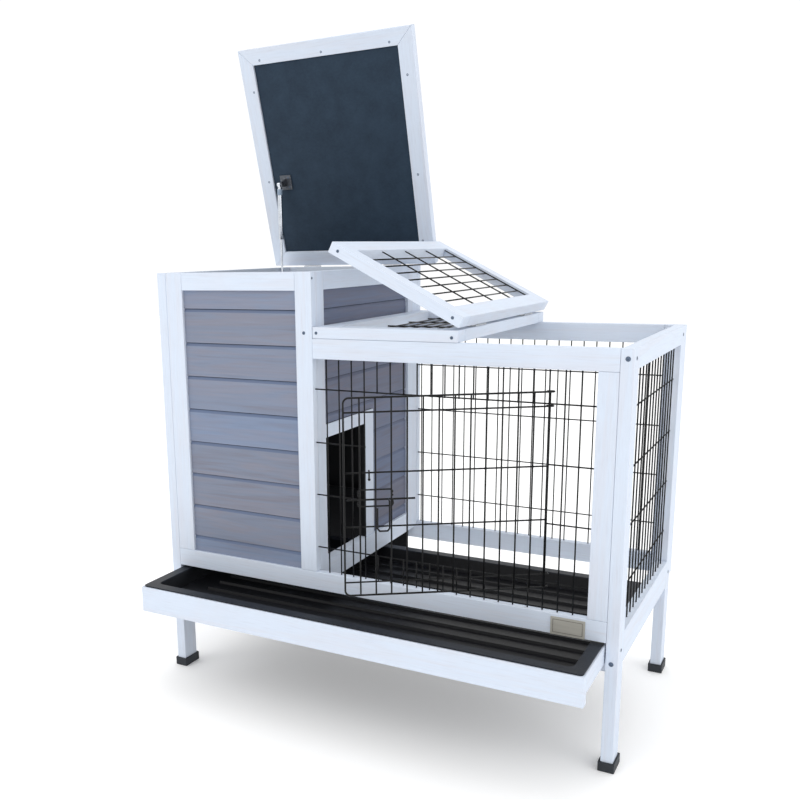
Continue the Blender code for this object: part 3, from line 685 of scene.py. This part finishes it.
roof_boards("roof_fixed_boards", AX0, AX1, stay, "hutch", "roof_fixed_frame",
            [white_wood("white_wood_roof_x", "x"), white_wood("white_wood_roof_y", "y")])
roof_boards("roof_flap_boards", BX0, BX1, flap_pose, "roof_flap", "roof_flap_frame", [WOOD_FLAP_X, WOOD_FLAP_Y])

# -------------------------------------------------------------- wire door
DP = 25.25
L = DP * 13
dz = (301.9, 324.0, 417.2, 506.2, 603.1, 626.3)
bm = bmesh.new()
ro = 0.0017
rad = 9.0


def corner_pts(cs, cz, a0):
    out_ = []
    for i in range(6):
        a = math.radians(a0 + 90.0 * i / 5)
        out_.append(door_pose((cs + rad * math.cos(a), 0.0, cz + rad * math.sin(a))))
    return out_


def hinge_hook(z, n0):
    """Wire end turned round the panel wire the door hangs on."""
    pts_ = [door_pose((-4.2, n0, z))]
    for a in range(36, 181, 36):
        t = math.radians(a)
        pts_.append(door_pose((-4.2 - 2.9 * math.sin(t), n0 + 3.1 * (1 - math.cos(t)), z)))
    pts_.append(door_pose((3.8, n0 + 6.2, z)))
    return pts_


outer = list(reversed(hinge_hook(dz[5], 0.0)))
outer += corner_pts(L - rad, dz[5] - rad, 90.0)[:0] + [door_pose((L - rad, 0.0, dz[5]))]
outer += list(reversed(corner_pts(L - rad, dz[5] - rad, 0.0)))[1:]
outer += list(reversed(corner_pts(L - rad, dz[0] + rad, 270.0)))
outer += [door_pose((2.0, 0.0, dz[0])), door_pose((-3.5, 0.4, dz[0] + 0.4)), door_pose((-6.4, 2.0, dz[0] + 0.8))]
tube(bm, outer, 0.0016, 10)
ri = 0.0014
for i in range(0, 13):
    s = DP * i
    tube(bm, [door_pose((s, -0.6, dz[0])), door_pose((s, -0.6, dz[5]))], ri)
for z in (dz[2], dz[3]):
    tube(bm, [door_pose((-1.6, 0.9, z)), door_pose((L, 0.9, z))], ri)
for z in (dz[1], dz[4]):
    tube(bm, [door_pose((L, 0.9, z))] + hinge_hook(z, 0.9), ri)
# catch hook near the free edge
tube(bm, [door_pose((288.3, 1.1, 509.6)), door_pose((288.3, -2.2, 508.2)), door_pose((288.3, -2.6, 496.0))], ri)
ball = [(0.0, 0.0)] + [(2.3 * mm * (1 - math.cos(math.radians(a))), 2.3 * mm * math.sin(math.radians(a))) for a in range(25, 176, 25)] + [(4.6 * mm, 0.0)]
lathe(bm, door_pose((288.3, -2.6, 498.0)), (0, 0, -1), ball, 14)
# two guide wires for the bolt, ends curled round the door wires
g1, g2 = 477.6, 450.2
pts = [(251.8, g1 - 12.0), (249.6, g1 - 9.5), (251.6, g1 - 7.0), (249.8, g1 - 3.6), (251.5, g1 - 0.8), (254.0, g1), (302.0, g1),
       (304.4, g1 - 0.8), (306.0, g1 - 4.0), (304.0, g1 - 7.0), (305.8, g1 - 9.6), (303.6, g1 - 12.4)]
tube(bm, [door_pose((a, 3.2, b)) for a, b in pts], ri)
pts = [(251.6, g2 + 12.6), (249.8, g2 + 9.5), (249.2, g2 + 4.0), (250.4, g2 + 1.0), (253.4, g2), (302.0, g2), (304.6, g2 + 1.0),
       (306.2, g2 + 4.5), (304.2, g2 + 8.0), (305.6, g2 + 11.0)]
tube(bm, [door_pose((a, 3.2, b)) for a, b in pts], ri)
make("wire_door_mesh", bm, WIRE, "wire_door", ["wire_door"])

# ------------------------------------------------------------- tray front
bm = bmesh.new()
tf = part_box("tray_frame")
tx0, tx1 = (tf[0].x - OX) * 1000.0, (tf[1].x - OX) * 1000.0
board(bm, (tx0, 0.0, 168.5), (tx1, 15.0, 218.5), tray_pose, 0)
SIDE_Z0 = 187.0
board(bm, (tx0, 15.2, SIDE_Z0), (tx0 + 12.0, 448.0, 218.5), tray_pose, 1)
board(bm, (tx1 - 12.0, 15.2, SIDE_Z0), (tx1, 448.0, 218.5), tray_pose, 1)
make("tray_boards", bm, [white_wood("white_wood_tray_front", "x"), white_wood("white_wood_tray_sides", "y")], "tray",
     ["tray_frame"], smooth=False)

# ------------------------------------------------------------- gas strut
foot = Vector((27.0, 415.0, 770.0))
head = Vector((27.0, 414.1456, 998.9006))
ax = (head - foot).normalized()
span = (head - foot).length


def along(t):
    p = foot + ax * t
    return W(p.x, p.y, p.z)


def eye_fitting(bm, centre, direction, stud):
    """Flat forged eye with rounded end on a short neck."""
    c = W(*centre)
    d = Vector(direction)
    side = Vector((1, 0, 0))
    n = 18
    prof = []
    for i in range(n + 1):
        a = math.radians(-110 + 220.0 * i / n)
        prof.append(c + (d * math.cos(a) + d.cross(side) * math.sin(a)) * 5.2 * mm)
    prof.append(c + d * (-6.2 * mm) + d.cross(side) * (2.6 * mm))
    prof.append(c + d * (-6.2 * mm) - d.cross(side) * (2.6 * mm))
    a = [bm.verts.new(p - side * 3.2 * mm) for p in prof]
    b = [bm.verts.new(p + side * 3.2 * mm) for p in prof]
    k = len(prof)
    for i in range(k):
        bm.faces.new((a[i], a[(i + 1) % k], b[(i + 1) % k], b[i]))
    bm.faces.new(list(reversed(a)))
    bm.faces.new(b)
    if stud:
        lathe(bm, c - side * 5.4 * mm, side, [(0, 0), (0.0, 3.6 * mm), (1.6 * mm, 3.6 * mm), (1.6 * mm, 2.6 * mm), (11.1 * mm, 2.6 * mm), (11.1 * mm, 0)], 18)


bm = bmesh.new()
top_t = span - 9.0
low_t = top_t - 112.0
eye_fitting(bm, head, ax, True)
lathe(bm, along(span - 6.0), -ax, [(0, 0), (0, 3.2 * mm), (3.0 * mm, 3.2 * mm), (3.0 * mm, 4.6 * mm), (4.4 * mm, 5.25 * mm),
                                  (112.2 * mm, 5.25 * mm), (113.6 * mm, 4.9 * mm), (114.6 * mm, 4.0 * mm), (114.6 * mm, 2.8 * mm), (5.5 * mm, 2.8 * mm), (5.5 * mm, 0)], 32)
before = len(bm.faces)
lathe(bm, along(top_t - 1.5), -ax, [(0, 5.2 * mm), (0, 5.6 * mm), (13.0 * mm, 5.6 * mm), (13.0 * mm, 5.2 * mm)], 32)
bm.faces.ensure_lookup_table()
for f in bm.faces[before:]:
    f.material_index = 1
make("strut_cylinder_body", bm, [CHROME, COLLAR], "strut_cylinder", ["strut_cylinder"], smooth="auto")

bm = bmesh.new()
eye_fitting(bm, foot, -ax, False)
lathe(bm, along(3.5), ax, [(0, 0), (0, 3.0 * mm), (5.0 * mm, 3.0 * mm), (5.8 * mm, 2.4 * mm), ((low_t + 8.0 - 3.5) * mm, 2.4 * mm), ((low_t + 8.0 - 3.5) * mm, 0)], 24)
make("strut_rod_body", bm, CHROME, "strut_rod", ["strut_rod"], smooth="auto")

# ----------------------------------------------------------------- screws
tb = bmesh.new()
lathe(tb, (0, 0, -0.001), (0, 0, 1), [(0, 0), (0, 0.0026), (0.0010, 0.0040), (0.00125, 0.0039), (0.0017, 0.0026), (0.0019, 0.0)], 24)
head_me = bpy.data.meshes.new("screw_form")
bmesh.ops.recalc_face_normals(tb, faces=tb.faces)
tb.to_mesh(head_me)
tb.free()
head_ob = bpy.data.objects.new("screw_form", head_me)
scene.collection.objects.link(head_ob)
cb = bmesh.new()
bmesh.ops.create_cube(cb, size=1.0, matrix=Matrix.Translation((0, 0, 0.0009)) @ Matrix.Diagonal((0.0044, 0.0009, 0.0014, 1)))
cut_me = bpy.data.meshes.new("screw_cut")
cb.to_mesh(cut_me)
cb.free()
cuts = []
for ang in (0.0, 90.0):
    co = bpy.data.objects.new("screw_cut", cut_me)
    co.rotation_euler = (0, 0, math.radians(ang + 20.0))
    scene.collection.objects.link(co)
    md = head_ob.modifiers.new("cut", "BOOLEAN")
    md.operation = "DIFFERENCE"
    md.object = co
    md.solver = "EXACT"
    cuts.append(co)
bpy.context.view_layer.update()
screw_me = bpy.data.meshes.new_from_object(head_ob.evaluated_get(bpy.context.evaluated_depsgraph_get()))
for ob in cuts + [head_ob]:
    bpy.data.objects.remove(ob, do_unlink=True)


def screws(name, spots, body):
    """spots: (point in metres, outward direction, size factor)."""
    bm = bmesh.new()
    for i, (p, d, k) in enumerate(spots):
        q = Vector(d).to_track_quat("Z", "Y").to_matrix().to_4x4()
        q = Matrix.Translation(p) @ q @ Matrix.Rotation(math.radians(37.0 * i), 4, "Z") @ Matrix.Diagonal((k, k, min(1.0, k), 1))
        n0 = len(bm.verts)
        bm.from_mesh(screw_me)
        bm.verts.ensure_lookup_table()
        for v in bm.verts[n0:]:
            v.co = q @ v.co
    make(name, bm, SCREW, body, smooth=False)


F = (0, -1, 0)
body_spots = [(W(891.0, -0.2, 682.5), F, 1.0), (W(889.4, -0.2, 190.6), F, 1.0), (W(328.2, -0.2, 707.5), F, 0.78),
              (W(345.2, 3.7, 803.8), (1, 0, 0), 0.6), (W(353.6, -0.2, 708.0), F, 0.7), (W(609.7, -0.2, 706.5), F, 0.7),
              (W(353.6, 478.2, 708.0), (0, 1, 0), 0.7), (W(609.7, 478.2, 706.5), (0, 1, 0), 0.7),
              (W(900.2, 19.0, 682.0), (1, 0, 0), 0.8), (W(900.2, 441.0, 682.0), (1, 0, 0), 0.8),
              (W(900.2, 19.0, 210.0), (1, 0, 0), 0.8), (W(900.2, 441.0, 210.0), (1, 0, 0), 0.8),
              (W(-0.2, 19.0, 798.0), (-1, 0, 0), 0.8), (W(-0.2, 441.0, 798.0), (-1, 0, 0), 0.8),
              (W(-0.2, 19.0, 210.0), (-1, 0, 0), 0.8), (W(-0.2, 441.0, 210.0), (-1, 0, 0), 0.8),
              (W(19.0, 478.2, 798.0), (0, 1, 0), 0.8), (W(328.0, 478.2, 798.0), (0, 1, 0), 0.8),
              (W(881.0, 478.2, 680.0), (0, 1, 0), 0.8), (W(19.0, 478.2, 218.0), (0, 1, 0), 0.8),
              (W(881.0, 478.2, 218.0), (0, 1, 0), 0.8)]
for yc in (105.0, 372.0):
    for dy in (-17.0, 17.0):
        body_spots.append((W(609.0, yc + dy, 719.7), (0, 0, 1), 0.55))
for xc in (70.0, 275.0):
    for dx in (-14.0, 14.0):
        body_spots.append((W(xc + dx, 479.5, 801.0), (0, 1, 0), 0.6))
for zz in (753.5, 776.0):
    body_spots.append((W(17.3, 402.5, zz), (1, 0, 0), 0.55))
screws("frame_screws", body_spots, "hutch")

lid_down = lid_pose((0, 0, -1)) - lid_pose((0, 0, 0))
lid_down.normalize()
lid_back = (lid_pose((0, 1, 0)) - lid_pose((0, 0, 0))).normalized()
lid_spots = []
for x, s_ in ((20.8, 454.7), (172.4, 454.0), (328.4, 454.0), (360.0, 389.8), (360.0, 194.2), (355.0, 54.4), (-8.6, 198.7), (-7.0, 392.2)):
    lid_spots.append((lid_pose((x, 481.0 - s_, 815.8)), lid_down, 0.78))
for dy in (-10.0, 10.0):
    lid_spots.append((lid_pose((42.0, 286.0 + dy, 817.1)), lid_down, 0.5))
screws("lid_screws", lid_spots, "lid")
flap_spots = []
flap_front = Vector((0, -1, 0))
for x in (638.0, 876.0):
    flap_spots.append((flap_pose((x, -0.2, 708.4)), flap_front, 0.7))
    flap_spots.append((flap_pose((x, 478.2, 708.4)), -flap_front, 0.7))
screws("flap_screws", flap_spots, "roof_flap")

# ----------------------------------------------------- moving hinge leaves
bm = bmesh.new()
for xc in (70.0, 275.0):
    board(bm, (xc - 21.5, 478.15, 818.6), (xc + 21.5, 479.25, 831.5), lid_pose, 0, 0.3)
make("lid_hinge_leaves", bm, STEEL, "lid", smooth=False)
bm = bmesh.new()
for yc in (105.0, 372.0):
    board(bm, (623.4, yc - 25.5, 718.6), (642.0, yc + 25.5, 719.6), flap_pose, 0, 0.3)
make("roof_hinge_leaves", bm, STEEL, "roof_flap", smooth=False)

# ------------------------------------------------------------ plate border
bm = bmesh.new()
bx0, bx1, bz0, bz1 = 793.0, 842.5, 229.2, 252.3
w = 1.1
for lo, hi in (((bx0, -2.0, bz0), (bx1, -1.7, bz0 + w)), ((bx0, -2.0, bz1 - w), (bx1, -1.7, bz1)),
               ((bx0, -2.0, bz0 + w), (bx0 + w, -1.7, bz1 - w)), ((bx1 - w, -2.0, bz0 + w), (bx1, -1.7, bz1 - w))):
    board(bm, lo, hi, stay, 0, 0)
make("badge_border", bm, PLATE_EDGE, "hutch", smooth=False)

# ------------------------------------------------------------------- floor
fb = bmesh.new()
bmesh.ops.create_grid(fb, x_segments=4, y_segments=4, size=9.0)
fme = bpy.data.meshes.new("studio_floor")
fb.to_mesh(fme)
fb.free()
floor = bpy.data.objects.new("studio_floor", fme)
scene.collection.objects.link(floor)
fs = Shader("pale_floor", 0.8, specular=0.2)
fn = fs.noise(fs.coord, 3.0, 3.0)
fs.colour(fs.ramp(fn, [(0.3, (0.965, 0.966, 0.968, 1)), (0.7, (0.975, 0.976, 0.978, 1))]))
fs.bsdf.inputs["Emission Color"].default_value = (1, 1, 1, 1)
fs.bsdf.inputs["Emission Strength"].default_value = 0.12
fme.materials.append(fs.mat)
